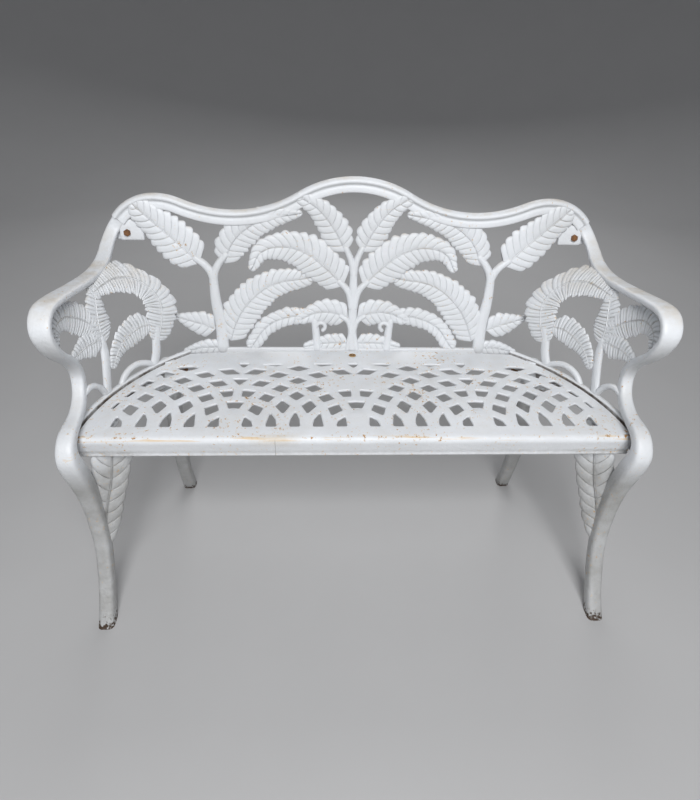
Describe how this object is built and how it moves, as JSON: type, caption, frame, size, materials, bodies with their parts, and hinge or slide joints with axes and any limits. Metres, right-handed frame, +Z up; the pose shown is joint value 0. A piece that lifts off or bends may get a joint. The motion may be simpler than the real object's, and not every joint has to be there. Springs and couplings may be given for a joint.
{
  "type": "cast iron garden bench",
  "caption": "White painted cast iron garden bench with an open fern back, fern ends with scrolled arms and a pierced arc lattice seat.",
  "frame": {"origin": "floor point under the middle of the bench's box", "axes": "+X along the bench, +Y from the front to the back, +Z up"},
  "size_m": [1.112, 0.507, 0.821],
  "materials": {
    "painted_iron": "old white gloss paint in many coats, chipped, with rust specks",
    "rusty_steel": "rusted bare steel"
  },
  "bodies": {
    "root": {"back_panel": "painted_iron", "seat_grille": "painted_iron", "left_end": "painted_iron", "right_end": "painted_iron", "left_arm_bolt": "rusty_steel", "left_arm_washer": "rusty_steel", "left_arm_nut": "rusty_steel", "left_corner_bolt": "rusty_steel", "left_corner_washer": "rusty_steel", "left_corner_nut": "rusty_steel", "left_seat_bolts": "rusty_steel", "left_seat_washers": "rusty_steel", "right_arm_bolt": "rusty_steel", "right_arm_washer": "rusty_steel", "right_arm_nut": "rusty_steel", "right_corner_bolt": "rusty_steel", "right_corner_washer": "rusty_steel", "right_corner_nut": "rusty_steel", "right_seat_bolts": "rusty_steel", "right_seat_washers": "rusty_steel", "seat_back_screw": "rusty_steel", "seat_back_washer": "rusty_steel", "seat_back_nut": "rusty_steel"}
  },
  "joints": []
}
